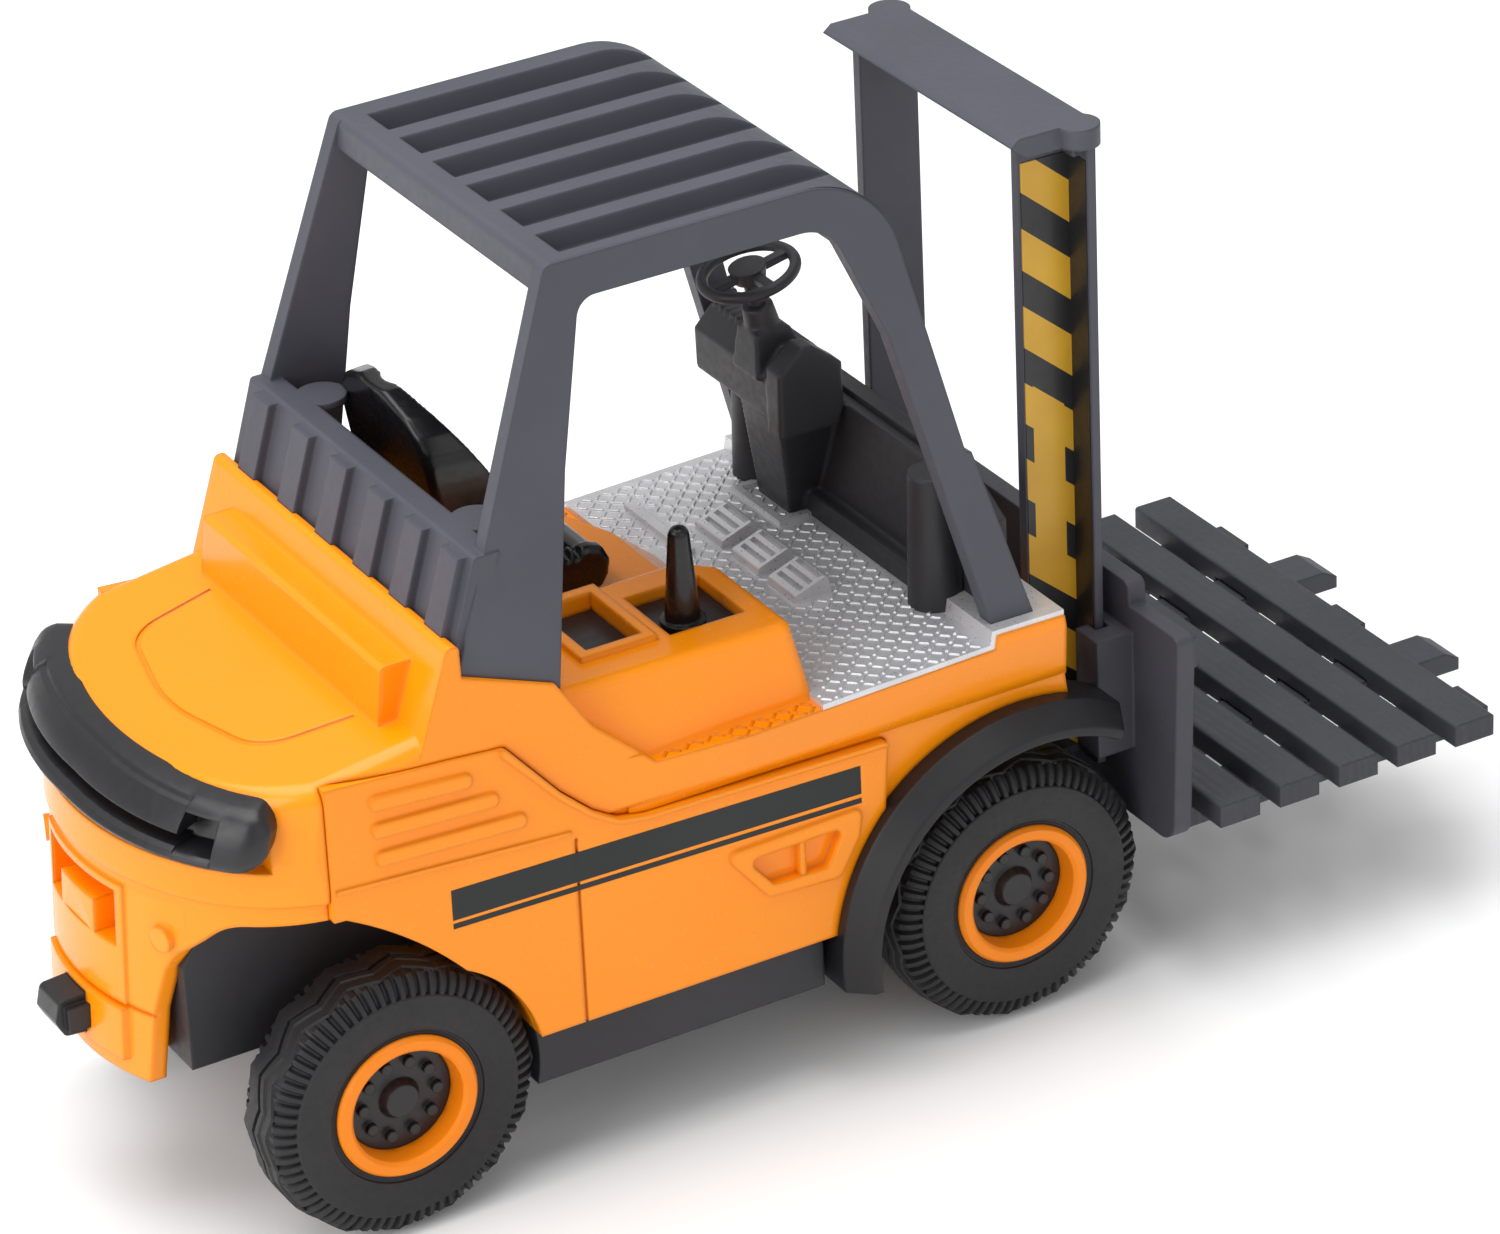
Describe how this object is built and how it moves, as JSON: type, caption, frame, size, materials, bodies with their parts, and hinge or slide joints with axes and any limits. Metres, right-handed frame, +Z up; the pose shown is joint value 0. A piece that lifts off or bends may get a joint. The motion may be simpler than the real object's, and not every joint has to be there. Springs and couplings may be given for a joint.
{
  "type": "toy forklift truck",
  "caption": "Toy forklift truck with rolling wheels, a cab guard, a lifting carriage on a fixed mast, and a slatted pallet that slides off its forks.",
  "frame": {"origin": "on the ground, under the middle of the toy's bounding box", "axes": "+X forwards to the fork tips, +Y to the driver's left, +Z up"},
  "size_m": [0.1844, 0.0696, 0.1133],
  "materials": {
    "orange_paint": "gloss enamel",
    "orange_plastic": "satin gloss",
    "silver_paint": "metallic silver, chequered",
    "grey_plastic": "satin moulded",
    "charcoal_plastic": "satin moulded",
    "black_plastic": "satin moulded",
    "gloss_black_plastic": "gloss moulded",
    "tyre_black": "moulded rubber",
    "warning_decal": "yellow and black printed film",
    "stripe_decal": "dark printed film",
    "screw_steel": "zinc plated",
    "axle_steel": "bright drawn"
  },
  "bodies": {
    "truck": {"body_screws": "screw_steel", "body_shell": "orange_paint", "chassis_base": "black_plastic", "console_tray": "black_plastic", "control_lever": "gloss_black_plastic", "dash_cowl": "charcoal_plastic", "floor_plate": "silver_paint", "front_cowl": "grey_plastic", "front_fender_left": "black_plastic", "front_fender_right": "black_plastic", "mast_frame": "grey_plastic", "mast_sticker_left": "warning_decal", "mast_sticker_right": "warning_decal", "overhead_guard": "grey_plastic", "rear_grille_bar": "black_plastic", "seat": "gloss_black_plastic", "side_panel_left": "orange_paint", "side_panel_right": "orange_paint", "side_stripe_left": "stripe_decal", "side_stripe_right": "stripe_decal", "tow_hook": "black_plastic"},
    "front_wheels": {"front_axle": "axle_steel", "tyre_front_left": "tyre_black", "tyre_front_right": "tyre_black", "rim_front_left": "orange_plastic", "rim_front_right": "orange_plastic", "hub_cap_front_left": "black_plastic", "hub_cap_front_right": "black_plastic"},
    "rear_wheels": {"rear_axle": "axle_steel", "tyre_rear_left": "tyre_black", "tyre_rear_right": "tyre_black", "rim_rear_left": "orange_plastic", "rim_rear_right": "orange_plastic", "hub_cap_rear_left": "black_plastic", "hub_cap_rear_right": "black_plastic"},
    "carriage": {"carriage": "grey_plastic"},
    "pallet": {"pallet": "grey_plastic"},
    "steering_wheel": {"steering_wheel": "charcoal_plastic"}
  },
  "joints": [
    {"name": "front_wheels_roll", "type": "hinge", "parent": "truck", "child": "front_wheels", "pos_m": [0.02075, 0, 0.017], "axis": [0, 1, 0], "continuous": true},
    {"name": "rear_wheels_roll", "type": "hinge", "parent": "truck", "child": "rear_wheels", "pos_m": [-0.06125, 0, 0.017], "axis": [0, 1, 0], "continuous": true},
    {"name": "carriage_lift", "type": "slide", "parent": "truck", "child": "carriage", "axis": [0, 0, 1], "range_m": [0, 0.052]},
    {"name": "pallet_slide", "type": "slide", "parent": "carriage", "child": "pallet", "axis": [1, 0, 0], "range_m": [0, 0.05]},
    {"name": "steering_turn", "type": "hinge", "parent": "truck", "child": "steering_wheel", "pos_m": [0.00895, 0.01, 0.0866], "axis": [-0.2079, 0, 0.9781], "continuous": true}
  ]
}
